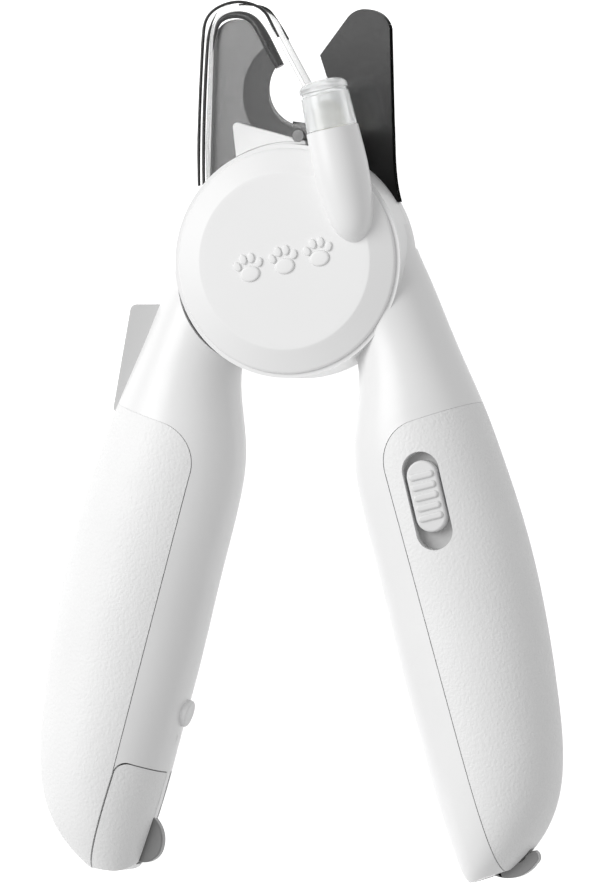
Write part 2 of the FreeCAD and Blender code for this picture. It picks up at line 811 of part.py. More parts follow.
def plain_handle_back():
    """Back shell of the plain handle, one moulding with the back half of the head."""
    outer = handle_loft("plain_back_outer", LEFT, "0")
    back = half_space("plain_back_half", "-60", "Sizes.parting")
    grip = common("plain_back_grip", outer, back)
    drum = back_drum("plain_back_drum")
    rim = upright("plain_back_rim", "Sizes.head_radius - 3", "0", "1")
    cavity, bed = shell_tools("plain_back", LEFT)
    posts = bosses("plain_back_boss", LEFT, "Sizes.parting - 7", "Sizes.parting")
    hollow = cut("plain_back_hollow", cavity, *posts)
    shear = upright("plain_back_shear", "Sizes.head_radius + 0.6",
                    "Sizes.parting - Sizes.shear_gap", "30")
    tang = moving_tang("plain_back_tang", 0.1)
    bush = upright("plain_back_bush", "Sizes.bush_radius", "-5", "Sizes.parting")
    head_well = upright("plain_back_head_well", "Sizes.bolt_head_radius + 0.3", "-5", "2.6")
    spring_room = upright("plain_back_spring_room", "10.4", "3.6", "30")
    anchor = add("Part::Cylinder", "plain_back_anchor", Radius="0.65")
    anchor.Height = 8.0
    anchor.Placement = Placement(polar(6.0, ANCHOR_ANGLE, 4.6),
                                 Rotation(Vector(0, 0, 1), polar(1.0, ANCHOR_ANGLE)))
    swing = file_space("plain_back_file")
    grip_room = file_grip_region("plain_back_grip_room", 0.2)
    guard = finger_guard_prism("plain_back_guard")
    catch = catch_space("plain_back_catch")
    bump = bumper_blank("plain_back_bump")
    shell = cut("plain_back_shell_solid", fuse("plain_back_block", grip, drum, rim), hollow, bed,
                shear, tang, bush, head_well, spring_room, anchor, swing, grip_room, guard, catch,
                bump, *screw_holes("plain_back_hole", LEFT))
    return label(shell, "plain_handle_back_shell")


def back_drum(name):
    """Back half of the head, a drum that narrows towards the back."""
    base = 0.5
    top = size("parting") - size("shear_gap")
    radius = size("head_radius")
    return turned(name, path(
        (0.0, base),
        ("line", (size("head_back_radius"), base), (radius, size("head_taper")), (radius, top),
         (0.0, top), (0.0, base))))


def plain_handle_front():
    """Front shell of the plain handle, which ends in an arc round the head."""
    outer = handle_loft("plain_front_outer", LEFT, "0")
    front = half_space("plain_front_half", "Sizes.parting", "60")
    grip = common("plain_front_grip", outer, front)
    cavity, bed = shell_tools("plain_front", LEFT)
    posts = bosses("plain_front_boss", LEFT, "Sizes.parting", "Sizes.parting + 7")
    hollow = cut("plain_front_hollow", cavity, *posts)
    ring = clearance_ring("plain_front_ring", "5", "60")
    shoulder = box("plain_front_shoulder", (-40.0, 2.2, 0.0), (0.0, 40.0, 40.0))
    shell = cut("plain_front_shell_solid", grip, hollow, bed, ring, shoulder,
                file_space("plain_front_file"), file_grip_region("plain_front_grip_room", 0.2),
                finger_guard_prism("plain_front_guard"), catch_space("plain_front_catch"),
                bumper_blank("plain_front_bump"),
                *screw_holes("plain_front_hole", LEFT))
    return label(shell, "plain_handle_front_shell")


def plain_grip_pad():
    """Grip pad of the plain handle."""
    outer, inner, region = grip_pad("plain_pad", LEFT)
    form = common("plain_pad_form", cut("plain_pad_skin", outer, inner), region)
    guard = finger_guard_prism("plain_pad_guard")
    return label(cut("plain_pad_solid", form, guard), "plain_handle_grip_pad")


def finger_guard_prism(name):
    """Outline of the grey finger guard let into the outer side of the plain handle."""
    edges = path(
        (-28.6, -7.2),
        ("line", (-24.0, -7.2), (-24.4, -14.0), (-28.9, -25.9), (-31.9, -26.2)),
        ("arc", (-32.7, -25.5), (-32.8, -24.5)),
        ("line", (-29.9, -8.4)),
        ("arc", (-29.5, -7.5), (-28.6, -7.2)),
    )
    return extrude(name, edges, "Sizes.parting - 2.2", "Sizes.parting + 2.2")


def finger_guard():
    """Grey finger guard: a wedge that stands out of the plain handle's outer side."""
    return label(finger_guard_prism("finger_guard_solid"), "finger_guard")


FILE_CENTRE = -0.8


def file_space(name):
    """Slot for the file strip inside the plain handle."""
    half = size("file_width") / 2.0 + 0.15
    mid = size("parting")
    return handle_box(name, LEFT, (FILE_CENTRE - half, 55.0, mid - size("file_thick") / 2.0 - 0.15),
                      (FILE_CENTRE + half, 112.0, mid + size("file_thick") / 2.0 + 0.15))


def file_grip_region(name, margin):
    """Prism over the inner end corner of the plain handle, taken by the file's grip."""
    start = size("grip_start") - margin
    spots = [
        (-12.0, -start),
        ("line", (-0.9, -start)),
        ("arc", (0.75 + margin, -start - 0.6), (1.35 + margin, -start - 2.3)),
        ("line", (1.35 + margin, -116.0), (-12.0, -116.0), (-12.0, -start)),
    ]
    return extrude(name, mirror_edges(path(*spots), LEFT), "-5", "30",
                   Placement(Vector(), turn(LEFT)))


def end_corner(name):
    """Prism that rounds off the inner corner of the file grip's end."""
    edges = path(
        (-5.9, -104.6),
        ("arc", (-4.7, -108.0), (-1.9, -109.6)),
        ("line", (2.5, -110.5), (2.5, -116.0), (-12.0, -116.0), (-12.0, -104.6), (-5.9, -104.6)),
    )
    return extrude(name, mirror_edges(edges, LEFT), "-5", "30", Placement(Vector(), turn(LEFT)))


def nail_file():
    """Pull-out file: steel strip with cross-cut faces and a moulded grip on its end."""
    mid = size("parting")
    half = size("file_width") / 2.0
    low = mid - size("file_thick") / 2.0
    strip = handle_box("file_strip_bar", LEFT, (FILE_CENTRE - half, 56.0, low),
                       (FILE_CENTRE + half, 97.0, low + size("file_thick")))
    label(strip, "file_strip")
    catch = catch_space("file_grip_catch", 0.15, 84.0)
    form = common("file_grip_form",
                  cut("file_grip_slotted", handle_loft("file_grip_outer", LEFT, "0", 3), catch,
                      end_corner("file_grip_corner")),
                  file_grip_region("file_grip_region", 0.0))
    socket = handle_box("file_grip_socket", LEFT, (FILE_CENTRE - half, 80.0, low),
                        (FILE_CENTRE + half, 97.0, low + size("file_thick")))
    label(cut("file_grip_solid", form, socket), "file_grip")


def catch_outline(margin):
    """Outline of the lock catch in the plain handle's local frame."""
    root = -3.9 + margin
    return [(root, -84.0), ("line", (root, -106.6 - margin), (-5.2, -106.9 - margin)),
            ("arc", (-7.6, -105.9), (-8.5, -103.4)), ("arc", (-8.0, -101.3), (-5.6, -98.8)),
            ("line", (-5.65, -96.0), (-5.15, -84.0), (root, -84.0))]


def catch_space(name, margin=0.0, start=None):
    """Room for the lock catch; with a start it runs open to the handle's upper end."""
    edges = path(*catch_outline(margin))
    if start is not None:
        root = -3.9 + margin
        edges = polygon([(root, -start), (root, -107.4), (-12.0, -107.4), (-12.0, -start)])
    edges = mirror_edges(edges, LEFT)
    half = "Sizes.latch_thick / 2 + %s" % (2 * margin)
    return extrude(name, edges, "Sizes.parting - (%s)" % half, "Sizes.parting + (%s)" % half,
                   Placement(Vector(), turn(LEFT)))


def lock_catch():
    """Grey tooth at the end of the plain handle, which the latch hooks over."""
    return label(catch_space("lock_catch_solid"), "lock_catch")


def bumper_blank(name):
    """Button of the stop bumper, set into the inner edge of the plain handle."""
    obj = add("Part::Cylinder", name)
    obj.Radius = 2.4
    obj.Height = 2.1
    obj.Placement = seat(LEFT, -5.9, 80.0, size("parting"), Rotation(Vector(0, 1, 0), -90))
    return obj


def stop_bumper():
    """Small bumper that stops the handles when the blades are fully closed."""
    return label(bumper_blank("stop_bumper_solid"), "stop_bumper")


# ---------------------------------------------------------------- blades and pivot

TANG = 13.0
BEVEL_RADII = (5.9, 10.4)
BEVEL_HEIGHT = 1.9


def fixed_plan():
    """Fixed blade: tang round the pivot, outer edge, rounded top and the nail notch."""
    return path(
        (-10.6, 12.6),
        ("line", (-15.4, 13.6), (-14.7, 37.4)),
        ("arc", (-13.5, 40.4), (-10.6, 41.6)),
        ("arc", (-8.2, 41.0), (-6.5, 39.2)),
        ("line", (-3.6, 34.1)),
        ("arc", (-5.2, 28.6), (-0.9, 23.6)),
        ("line", (1.9, 23.9), (2.2, 21.6), (4.5, TANG * 0.93)),
        ("arc", (TANG * 0.81, -TANG * 0.586), (-TANG * 0.5, -TANG * 0.866)),
        ("line", (-12.0, 0.0), (-10.6, 12.6)),
    )


def fixed_tang(name, margin):
    """Recess under the front half of the head for the fixed blade's tang."""
    return extrude(name + "_plan", fixed_plan(), "Sizes.parting - 1",
                   "Sizes.parting + Sizes.shear_gap + Sizes.blade_thick + %s" % margin)


def moving_tang(name, margin):
    """Recess in the back half of the head for the moving blade's tang."""
    return extrude(name + "_plan", moving_plan(),
                   "Sizes.parting - Sizes.shear_gap - Sizes.blade_thick - %s" % margin,
                   "Sizes.parting + 1")


def moving_plan():
    """Moving blade: like the fixed one mirrored, with a shoulder that follows the head's side."""
    return path(
        (12.0, 10.0),
        ("line", (17.6, 10.2)),
        ("curve", (16.9, 13.4), (16.5, 18.0), (16.3, 24.0)),
        ("line", (15.9, 39.9)),
        ("arc", (14.4, 42.3), (11.9, 43.2)),
        ("arc", (9.8, 42.9), (8.3, 41.7)),
        ("line", (3.5, 35.4), (4.7, 31.7)),
        ("arc", (6.0, 28.4), (1.7, 23.7)),
        ("line", (-1.2, 24.1), (-1.5, 21.6), (-4.5, TANG * 0.93)),
        ("arc", (-TANG * 0.81, -TANG * 0.586), (TANG * 0.5, -TANG * 0.866)),
        ("line", (12.0, 0.0), (12.0, 10.0)),
    )


def blades():
    """Fixed and moving blades, each bored for the pivot, with a bevel along the notch."""
    fixed = extrude("fixed_blade_blank", fixed_plan(), "Sizes.parting + Sizes.shear_gap",
                    "Sizes.parting + Sizes.shear_gap + Sizes.blade_thick")
    bore = upright("fixed_blade_bore", "Sizes.bolt_radius + Sizes.bolt_fit", "0", "30")
    edge = size("shear_gap") + size("edge_land")
    bevel = bevel_cone("fixed_blade_bevel", BEVEL_RADII, (0.5, 28.8), size("parting") + edge)
    leg = polar(LEG_RADIUS, LEG_ANGLE)
    slot = upright("fixed_blade_leg_hole", "0.6", "0", "30", x=leg.x, y=leg.y)
    x, y = GUARD_SCREW
    thread = upright("fixed_blade_thread", "Sizes.guard_screw_radius + 0.05", "0", "30", x=x, y=y)
    label(cut("fixed_blade_solid", fixed, bore, bevel, slot, thread), "fixed_blade")

    moving = extrude("moving_blade_blank", moving_plan(),
                     "Sizes.parting - Sizes.shear_gap - Sizes.blade_thick",
                     "Sizes.parting - Sizes.shear_gap")
    bush = upright("moving_blade_bush", "Sizes.bush_radius", "0", "30")
    relief = bevel_cone("moving_blade_bevel", BEVEL_RADII[::-1], (0.2, 29.0),
                        size("parting") - edge - BEVEL_HEIGHT)
    arc_slot = leg_slot("moving_blade_slot")
    label(cut("moving_blade_solid", moving, bush, relief, arc_slot), "moving_blade")


def bevel_cone(name, radii, centre, low):
    """Cone that grinds a bevel round the nail notch."""
    cone = doc.addObject("Part::Cone", name)
    cone.Radius1, cone.Radius2 = radii
    cone.Height = BEVEL_HEIGHT
    cone.Placement = Placement(Vector(*centre, low), Rotation())
    return cone


def leg_slot(name):
    """Curved slot that lets the spring's leg pass through the moving blade."""
    travel = 33.0
    half_width = 0.9
    first = LEG_ANGLE + 4.0
    last = LEG_ANGLE - travel
    middle = (first + last) / 2.0
    outer = LEG_RADIUS + half_width
    inner = LEG_RADIUS - half_width
    edges = [
        Part.Arc(polar(outer, first), polar(outer, middle), polar(outer, last)),
        Part.LineSegment(polar(outer, last), polar(inner, last)),
        Part.Arc(polar(inner, last), polar(inner, middle), polar(inner, first)),
        Part.LineSegment(polar(inner, first), polar(outer, first)),
    ]
    return extrude(name, edges, "0", "30")


def pivot_parts():
    """Bolt, washer, nut, bush, cap and the return spring."""
    shaft = upright("bolt_shaft", "Sizes.bolt_radius", "1.2", "Sizes.head_top - 0.7")
    head = upright("bolt_head", "Sizes.bolt_head_radius", "0.4", "2.3")
    drive = doc.addObject("Part::Prism", "bolt_drive")
    drive.Polygon = 6
    drive.Circumradius = 2.3
    drive.Height = 1.4
    drive.Placement = Placement(Vector(0, 0, -0.3), Rotation())
    label(cut("bolt_solid", fuse("bolt_blank", shaft, head), drive), "pivot_bolt")

    disc = upright("washer_disc", "Sizes.washer_radius", "Sizes.head_top - 4.4",
                   "Sizes.head_top - 4.4 + Sizes.washer_thick")
    washer_bore = upright("washer_bore", "Sizes.bolt_radius + 0.2", "0", "30")
    label(cut("washer_solid", disc, washer_bore), "pivot_washer")

    hexagon = doc.addObject("Part::Prism", "nut_hexagon")
    hexagon.Polygon = 6
    bind(hexagon, Circumradius="Sizes.nut_width / 2 / cos(30)", Height="Sizes.nut_height - 0.1",
         Placement__Base__z="Sizes.head_top - 4.4 + Sizes.washer_thick")
    nut_bore = upright("nut_bore", "Sizes.bolt_radius", "0", "30")
    label(cut("nut_solid", hexagon, nut_bore), "pivot_nut")

    sleeve = upright("bush_sleeve", "Sizes.bush_radius", "2.65",
                     "Sizes.parting - Sizes.shear_gap")
    sleeve_bore = upright("bush_bore", "Sizes.bolt_radius + Sizes.bolt_fit", "0", "30")
    label(cut("bush_solid", sleeve, sleeve_bore), "pivot_bush")

    base = size("head_top")
    top = base + size("cap_height")
    cap_profile = path(
        (0.0, base - size("cap_spigot_depth")),
        ("line", (size("cap_spigot_radius"), base - size("cap_spigot_depth")),
         (size("cap_spigot_radius"), base), (size("cap_radius"), base),
         (size("cap_radius"), base + 0.4)),
        ("curve", (18.5, base + 0.85), (17.0, base + 1.45), (size("cap_face_radius"), top)),
        ("line", (0.0, top), (0.0, base - size("cap_spigot_depth"))),
    )
    cap = turned("cap_form", cap_profile)
    lamp = lamp_blank("cap_lamp")
    channel = wire_channel("cap_channel")
    bolt_room = upright("cap_bolt_room", "5.6", "0", "Sizes.head_top - 0.5")
    label(cut("cap_solid", cap, lamp, channel, bolt_room), "pivot_cap")

    label(feature("return_spring_wire", return_spring_shape()), "return_spring")


def polar(radius, angle, height=0.0):
    """Point at a radius and an angle in degrees about the pivot."""
    bend = math.radians(angle)
    return Vector(radius * math.cos(bend), radius * math.sin(bend), height)


def return_spring_shape():
    """Torsion spring: coils round the bush, a leg into the head and a leg up to the fixed blade."""
    wire = 0.5
    coil = 6.0
    pitch = 1.15
    low = 4.6
    high = low + 2 * pitch
    pieces = [Part.makeTorus(coil, wire, Vector(0, 0, low + index * pitch)) for index in range(3)]
    pieces.append(Part.makeCylinder(wire * 0.9, high - low, polar(coil, 0.0, low)))
    pieces.append(Part.makeCylinder(wire * 0.9, 6.0, polar(coil, ANCHOR_ANGLE, low),
                                    polar(1.0, ANCHOR_ANGLE)))
    pieces.append(Part.makeCylinder(wire * 0.9, LEG_RADIUS - coil, polar(coil, LEG_ANGLE, high),
                                    polar(1.0, LEG_ANGLE)))
    pieces.append(Part.makeSphere(wire, polar(LEG_RADIUS, LEG_ANGLE, high)))
    pieces.append(Part.makeCylinder(wire, 5.5, polar(LEG_RADIUS, LEG_ANGLE, high)))
    solid = pieces[0]
    for piece in pieces[1:]:
        solid = solid.fuse(piece)
    return solid


# ---------------------------------------------------------------- small parts

GUARD_SCREW = (0.75, 21.5)


def blade_guard_parts():
    """White wedge over the root of the fixed blade, and its screw."""
    floor = "Sizes.parting + Sizes.shear_gap + Sizes.blade_thick"
    wedge = extrude("guard_wedge", path(
        (-10.8, 12.0),
        ("line", (-10.3, 17.8), (-10.9, 23.0)),
        ("arc", (-10.6, 23.7), (-9.8, 23.8)),
        ("line", (2.0, 20.6), (2.4, 12.0), (-10.8, 12.0))), floor, floor + " + 1.5")
    drum = upright("guard_drum", "Sizes.head_radius + 0.05", "0", "30")
    x, y = GUARD_SCREW
    hole = upright("guard_hole", "Sizes.guard_screw_radius + 0.05", "0", "30", x=x, y=y)
    seat_cut = upright("guard_seat", "Sizes.guard_head_radius + 0.05", "0", "30", x=x, y=y)
    label(cut("guard_solid", wedge, drum, hole, seat_cut), "blade_guard")
    shaft = upright("guard_screw_shaft", "Sizes.guard_screw_radius", floor + " - 1.6",
                    floor + " + 0.2", x=x, y=y)
    head = upright("guard_screw_head", "Sizes.guard_head_radius", floor + " + 0.1",
                   floor + " + 1.5", x=x, y=y)
    label(fuse("guard_screw_solid", shaft, head), "guard_screw")


def catcher():
    """Clear nail catcher: a front plate with a wall round the fixed blade."""
    low = "Sizes.parting + Sizes.shear_gap"
    block = extrude("catcher_block", catcher_plan(size("catcher_wall")), low, "Sizes.catcher_top")
    inside = extrude("catcher_inside", catcher_plan(0.0), "0",
                     "Sizes.catcher_top - Sizes.catcher_wall")
    drum = upright("catcher_drum", "Sizes.head_radius + 0.5", "0", "30")
    mouth = box("catcher_mouth", (-15.0, 4.0, 0.0), (20.0, 25.4, 12.9))
    guard_room = box("catcher_guard_room", (-12.4, 4.0, 0.0), (20.0, 24.6, 14.3))
    label(cut("catcher_solid", block, inside, drum, mouth, guard_room), "nail_catcher_tray")


def catcher_plan(grow):
    """Catcher outline with its long left rail."""
    slant = 0.86 * grow
    return path(
        (-15.5 - grow, 12.2),
        ("line", (-15.65 - grow, 20.0), (-14.9 - grow, 38.0)),
        ("arc", (-13.8 - 0.8 * grow, 41.5 + 0.6 * grow), (-10.2, 43.1 + grow)),
        ("arc", (-6.6 + 0.6 * grow, 42.2 + 0.8 * grow), (-4.2 + slant, 39.4 + 0.5 * grow)),
        ("line", (1.7 + slant, 28.8 + 0.5 * grow), (3.0 + 0.5 * grow, 21.0),
         (-9.0, 12.2), (-15.5 - grow, 12.2)),
    )


def latch_parts():
    """Swing latch at the end of the lamp handle and its pin."""
    across, along = LATCH_PIN
    low = size("parting") - size("latch_thick") / 2.0
    arm = path(
        (0.0, 2.3),
        ("arc", (-2.3, 0.0), (-0.6, -2.2)),
        ("line", (2.6, -6.5)),
        ("arc", (6.6, -6.7), (9.8, -4.4)),
        ("arc", (10.3, -3.1), (9.5, -2.1)),
        ("line", (8.1, -2.9)),
        ("arc", (6.6, -4.2), (5.0, -3.2)),
        ("line", (3.6, 0.9)),
        ("arc", (2.2, 2.1), (0.0, 2.3)),
    )
    spot = seat(RIGHT, across, along, 0.0).Base
    place = Placement(spot, Rotation())
    plan = extrude("latch_plan", arm, "Sizes.parting - Sizes.latch_thick / 2",
                   "Sizes.parting + Sizes.latch_thick / 2", place)
    bore = cylinder("latch_bore", "Sizes.latch_pin_radius + 0.06", "8",
                    seat(RIGHT, across, along, low - 2.0))
    label(cut("latch_solid", plan, bore), "lock_latch_hook")
    label(cylinder("latch_pin_solid", "Sizes.latch_pin_radius", "9.6",
                   seat(RIGHT, across, along, size("parting") - 4.8)), "latch_pin")


# ---------------------------------------------------------------- build

def check_and_write():
    """Stop on any failed object, then write one STEP file for each sub-part."""
    doc.recompute()
    for obj in doc.Objects:
        if "Invalid" in obj.State or "Error" in obj.State:
            raise RuntimeError("%s failed: %s" % (obj.Name, obj.State))
    os.makedirs("parts", exist_ok=True)
    for name, obj in NODES:
        shape = obj.Shape
        if shape.isNull() or not shape.isValid():
            raise RuntimeError("%s has no valid shape" % name)
        low = shape.BoundBox
        print("%-26s solids %d volume %9.1f  x %6.1f %6.1f  y %7.1f %6.1f  z %5.1f %5.1f" % (
            name, len(shape.Solids), shape.Volume, low.XMin, low.XMax, low.YMin, low.YMax,
            low.ZMin, low.ZMax))
        shape.exportStep("parts/%s.step" % name)


def main():
    """Build every sub-part."""
    make_sheet()
    lamp_handle_front()
    lamp_handle_back()
    lamp_grip_pad()
    lamp_parts()
    switch_parts()
    knob()
    battery_parts()
    pivot_parts()
    blades()
    blade_guard_parts()
    catcher()
    latch_parts()
    plain_handle_front()
    plain_handle_back()
    plain_grip_pad()
    finger_guard()
    lock_catch()
    stop_bumper()
    nail_file()
    label(group("lamp_screws_group", screws("lamp_screw", RIGHT)), "lamp_handle_screws")
    label(group("plain_screws_group", screws("plain_screw", LEFT)), "plain_handle_screws")
    check_and_write()


main()
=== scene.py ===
"""Looks for the lamp-lit pet nail clipper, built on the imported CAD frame."""
import math

import bmesh
import bpy
from mathutils import Matrix, Vector


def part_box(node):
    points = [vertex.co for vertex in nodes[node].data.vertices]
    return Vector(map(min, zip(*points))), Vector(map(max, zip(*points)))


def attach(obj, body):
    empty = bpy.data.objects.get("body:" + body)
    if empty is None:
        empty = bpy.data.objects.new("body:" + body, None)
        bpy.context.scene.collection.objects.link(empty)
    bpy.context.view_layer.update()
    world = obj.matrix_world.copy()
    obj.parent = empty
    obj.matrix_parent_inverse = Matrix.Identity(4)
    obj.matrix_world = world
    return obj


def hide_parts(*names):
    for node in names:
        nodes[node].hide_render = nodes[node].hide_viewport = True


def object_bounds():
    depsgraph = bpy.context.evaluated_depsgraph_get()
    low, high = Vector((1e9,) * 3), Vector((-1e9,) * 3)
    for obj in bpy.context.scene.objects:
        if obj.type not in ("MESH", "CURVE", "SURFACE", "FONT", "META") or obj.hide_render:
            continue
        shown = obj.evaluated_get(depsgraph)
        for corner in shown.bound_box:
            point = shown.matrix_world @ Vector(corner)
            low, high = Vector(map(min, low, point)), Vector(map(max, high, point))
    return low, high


MM = 0.001
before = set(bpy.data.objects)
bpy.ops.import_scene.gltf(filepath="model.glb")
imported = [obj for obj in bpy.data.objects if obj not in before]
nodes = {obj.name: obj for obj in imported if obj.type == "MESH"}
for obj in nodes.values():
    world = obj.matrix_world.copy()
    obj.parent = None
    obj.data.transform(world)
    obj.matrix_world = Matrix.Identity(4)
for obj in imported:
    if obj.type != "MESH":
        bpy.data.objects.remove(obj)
cad_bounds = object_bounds()

# Stage, in metres unless a name says otherwise.
VIEW_TURN = math.radians(16.0)
CAMERA_DISTANCE = 2.0
CAMERA_LENS_MM = 475.0
SENSOR_WIDTH_MM = 36.0
AIM = Vector((-0.05, -30.9, 10.45)) * MM
KEY_PLACE = (-0.85, 0.3, 1.0)
KEY_SIZE = 1.0
KEY_WATTS = 11.6
SKY_STRENGTH = 0.51
FLOOR_GLOW = 0.8
FLOOR_HALF_WIDTH = 3.0
FLOOR_GAP = 0.0001

# Where the dark and the light end of a noise texture are put on a colour ramp.
NOISE_LOW = 0.3
NOISE_HIGH = 0.7

# Noise scales, in waves per metre, and depths of fine grain, in metres.
CLOUD_SCALE = 60.0
GLOSS_SCALE = 180.0
BRUSH_SCALE = 900.0
BRUSH_DEPTH = 0.00002
MELT_DEPTH = 0.0001
GRIND_SCALE = 5200.0
GRIND_DEPTH = 0.00001


def add_camera():
    """Long lens that looks down on the face, turned a little to the object's right."""
    data = bpy.data.cameras.new("camera")
    data.lens = CAMERA_LENS_MM
    data.sensor_width = SENSOR_WIDTH_MM
    data.clip_start = 0.01
    data.clip_end = 20.0
    camera = bpy.data.objects.new("camera", data)
    bpy.context.scene.collection.objects.link(camera)
    back = Vector((math.sin(VIEW_TURN), 0.0, math.cos(VIEW_TURN)))
    camera.location = AIM + back * CAMERA_DISTANCE
    camera.rotation_euler = (0.0, VIEW_TURN, 0.0)
    bpy.context.scene.camera = camera


def add_key_light():
    """Broad white light from the upper left, aimed where the camera looks."""
    data = bpy.data.lights.new("key", "AREA")
    data.shape = "DISK"
    data.size = KEY_SIZE
    data.energy = KEY_WATTS
    light = bpy.data.objects.new("key", data)
    bpy.context.scene.collection.objects.link(light)
    light.location = Vector(KEY_PLACE)
    light.rotation_euler = (AIM - light.location).to_track_quat("-Z", "Y").to_euler()


def new_material(name):
    """Empty material with one Principled shader joined to its output."""
    material = bpy.data.materials.new(name)
    material.use_nodes = True
    tree = material.node_tree
    tree.nodes.clear()
    output = tree.nodes.new("ShaderNodeOutputMaterial")
    shader = tree.nodes.new("ShaderNodeBsdfPrincipled")
    tree.links.new(shader.outputs[0], output.inputs[0])
    return material, tree, shader


def object_noise(tree, scale, detail=2.0, stretch=None):
    """Noise fixed to the object, drawn out along its axes where a stretch is given."""
    coords = tree.nodes.new("ShaderNodeTexCoord")
    noise = tree.nodes.new("ShaderNodeTexNoise")
    noise.inputs["Scale"].default_value = scale
    noise.inputs["Detail"].default_value = detail
    if stretch is None:
        tree.links.new(coords.outputs["Object"], noise.inputs["Vector"])
        return noise
    mapping = tree.nodes.new("ShaderNodeMapping")
    mapping.inputs["Scale"].default_value = stretch
    tree.links.new(coords.outputs["Object"], mapping.inputs["Vector"])
    tree.links.new(mapping.outputs["Vector"], noise.inputs["Vector"])
    return noise


def ramp(tree, source, stops):
    """Colour ramp driven by a source, with a stop for each (place, colour)."""
    node = tree.nodes.new("ShaderNodeValToRGB")
    elements = node.color_ramp.elements
    while len(elements) < len(stops):
        elements.new(0.5)
    for element, (place, colour) in zip(elements, stops):
        element.position = place
        element.color = (*colour, 1.0)
    tree.links.new(source, node.inputs["Fac"])
    return node


def noise_ramp(tree, noise, dark, light):
    """Ramp from a dark to a light colour over the middle of a noise texture."""
    return ramp(tree, noise.outputs["Fac"], [(NOISE_LOW, dark), (NOISE_HIGH, light)])


def bump(tree, shader, height, strength, distance):
    """Raise and sink the shader's normal by a height; the distance is in metres."""
    node = tree.nodes.new("ShaderNodeBump")
    node.inputs["Strength"].default_value = strength
    node.inputs["Distance"].default_value = distance
    tree.links.new(height, node.inputs["Height"])
    tree.links.new(node.outputs["Normal"], shader.inputs["Normal"])


def grey(value):
    """Colour with three equal parts."""
    return (value, value, value)


def moulded_plastic(name, tone, spread, rough, rough_spread, grain, depth, strength=0.3):
    """Plastic with a faint cloud in its tone, uneven gloss and a fine moulded grain."""
    material, tree, shader = new_material(name)
    shade = object_noise(tree, CLOUD_SCALE, 3.0)
    colours = noise_ramp(tree, shade, tuple(c - spread for c in tone),
                         tuple(c + spread for c in tone))
    tree.links.new(colours.outputs["Color"], shader.inputs["Base Color"])
    gloss = object_noise(tree, GLOSS_SCALE)
    rough_map = noise_ramp(tree, gloss, grey(rough - rough_spread), grey(rough + rough_spread))
    tree.links.new(rough_map.outputs["Color"], shader.inputs["Roughness"])
    fine = object_noise(tree, grain)
    bump(tree, shader, fine.outputs["Fac"], strength, depth)
    return material


def brushed_steel(name, tone, rough, stretch, strength):
    """Metal with fine brush lines in its tone, gloss and surface."""
    material, tree, shader = new_material(name)
    shader.inputs["Metallic"].default_value = 1.0
    lines = object_noise(tree, BRUSH_SCALE, 3.0, stretch)
    colours = noise_ramp(tree, lines, tuple(c * 0.9 for c in tone), tuple(c * 1.06 for c in tone))
    tree.links.new(colours.outputs["Color"], shader.inputs["Base Color"])
    rough_map = noise_ramp(tree, lines, grey(rough * 0.8), grey(rough * 1.2))
    tree.links.new(rough_map.outputs["Color"], shader.inputs["Roughness"])
    bump(tree, shader, lines.outputs["Fac"], strength, BRUSH_DEPTH)
    return material


def let_lamp_light_through(tree, shader):
    """Shadow rays pass straight through, so what lies under clear plastic stays lit."""
    output = tree.nodes["Material Output"]
    rays = tree.nodes.new("ShaderNodeLightPath")
    window = tree.nodes.new("ShaderNodeBsdfTransparent")
    mix = tree.nodes.new("ShaderNodeMixShader")
    tree.links.new(rays.outputs["Is Shadow Ray"], mix.inputs["Fac"])
    tree.links.new(shader.outputs[0], mix.inputs[1])
    tree.links.new(window.outputs[0], mix.inputs[2])
    tree.links.new(mix.outputs[0], output.inputs["Surface"])


def clear(name, rough, tint, bump_scale, weight=1.0):
    """Clear or, with a weight below 1, milky plastic with slight waves in its surface."""
    material, tree, shader = new_material(name)
    shader.inputs["Transmission Weight"].default_value = weight
    shader.inputs["IOR"].default_value = 1.5
    shader.inputs["Base Color"].default_value = (*tint, 1.0)
    waves = object_noise(tree, bump_scale, 1.0)
    rough_map = noise_ramp(tree, waves, grey(rough * 0.7), grey(rough * 1.3))
    tree.links.new(rough_map.outputs["Color"], shader.inputs["Roughness"])
    bump(tree, shader, waves.outputs["Fac"], 0.05, MELT_DEPTH)
    let_lamp_light_through(tree, shader)
    return material


def face_tilt(tree):
    """How far a face looks up or down: 1 for flat faces, 0 for upright walls."""
    geometry = tree.nodes.new("ShaderNodeNewGeometry")
    split = tree.nodes.new("ShaderNodeSeparateXYZ")
    size = tree.nodes.new("ShaderNodeMath")
    size.operation = "ABSOLUTE"
    tree.links.new(geometry.outputs["Normal"], split.inputs[0])
    tree.links.new(split.outputs["Z"], size.inputs[0])
    return size.outputs[0]


def clear_with_painted_edge_shade(name):
    """Clear sheet whose tint goes near black on rounded and sloping faces: painted shade for the
    dark edges of thick clear plastic.
    """
    material = clear(name, 0.02, (1.0, 1.0, 1.0), 120.0)
    tree = material.node_tree
    shader = next(n for n in tree.nodes if n.type == "BSDF_PRINCIPLED")
    # Painted shade: the tint is set by the face's tilt, dark on slopes and light on flats.
    tones = ramp(tree, face_tilt(tree), [
        (0.0, grey(0.62)), (0.12, grey(0.1)), (0.93, grey(0.08)), (0.985, grey(0.97))])
    tree.links.new(tones.outputs["Color"], shader.inputs["Base Color"])
    return material


